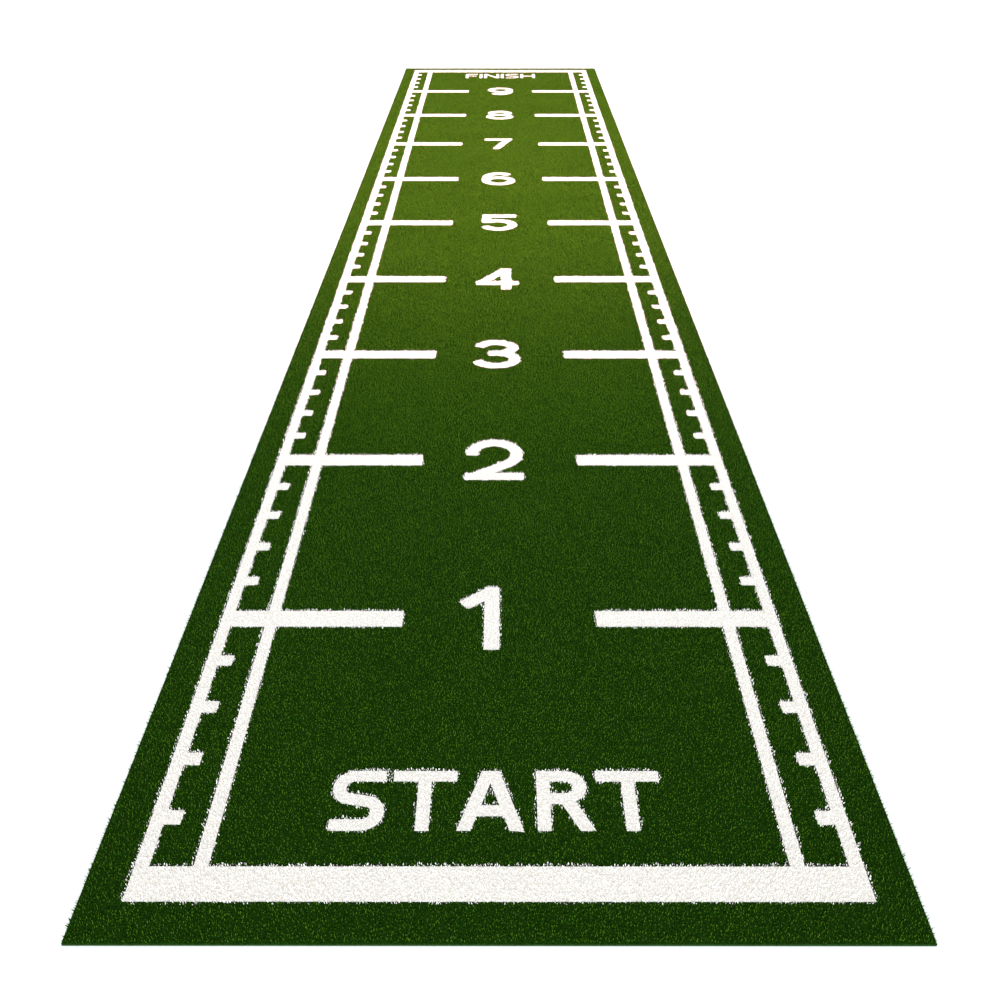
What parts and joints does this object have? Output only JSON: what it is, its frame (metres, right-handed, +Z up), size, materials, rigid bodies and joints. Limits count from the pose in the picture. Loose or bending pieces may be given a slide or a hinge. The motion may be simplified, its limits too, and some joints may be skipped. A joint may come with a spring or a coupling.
{
  "type": "practice turf mat",
  "caption": "Long flat mat of short artificial grass, its green pile inlaid with white side scales, distance lines, numerals and a start and a finish line.",
  "frame": {"origin": "middle of the mat's underside, half way between its long edges and its two ends, on the floor", "axes": "+Y along the mat from the start line to the finish line, +X to the right when facing the finish, +Z up out of the pile"},
  "size_m": [2, 10.32, 0.015],
  "materials": {
    "green_pile": "matte cut pile of polyethylene grass blades, dark at the roots",
    "white_pile": "matte cut pile of white polyethylene grass blades",
    "woven_backing": "matte black woven polypropylene cloth",
    "latex_backing": "dull dark latex coat with the tuft rows showing through"
  },
  "bodies": {
    "root": {"finish_letter_1_F": "white_pile", "finish_letter_2_I": "white_pile", "finish_letter_3_N": "white_pile", "finish_letter_4_I": "white_pile", "finish_letter_5_S": "white_pile", "finish_letter_6_H": "white_pile", "finish_line": "white_pile", "green_turf": "green_pile", "latex_backing": "latex_backing", "left_inner_rail": "white_pile", "left_metre_bar_1": "white_pile", "left_metre_bar_2": "white_pile", "left_metre_bar_3": "white_pile", "left_metre_bar_4": "white_pile", "left_metre_bar_5": "white_pile", "left_metre_bar_6": "white_pile", "left_metre_bar_7": "white_pile", "left_metre_bar_8": "white_pile", "left_metre_bar_9": "white_pile", "left_outer_scale": "white_pile", "numeral_1": "white_pile", "numeral_2": "white_pile", "numeral_3": "white_pile", "numeral_4": "white_pile", "numeral_5": "white_pile", "numeral_6": "white_pile", "numeral_7": "white_pile", "numeral_8": "white_pile", "numeral_9": "white_pile", "right_inner_rail": "white_pile", "right_metre_bar_1": "white_pile", "right_metre_bar_2": "white_pile", "right_metre_bar_3": "white_pile", "right_metre_bar_4": "white_pile", "right_metre_bar_5": "white_pile", "right_metre_bar_6": "white_pile", "right_metre_bar_7": "white_pile", "right_metre_bar_8": "white_pile", "right_metre_bar_9": "white_pile", "right_outer_scale": "white_pile", "start_letter_1_S": "white_pile", "start_letter_2_T": "white_pile", "start_letter_3_A": "white_pile", "start_letter_4_R": "white_pile", "start_letter_5_T": "white_pile", "start_line": "white_pile", "woven_backing": "woven_backing"}
  },
  "joints": []
}
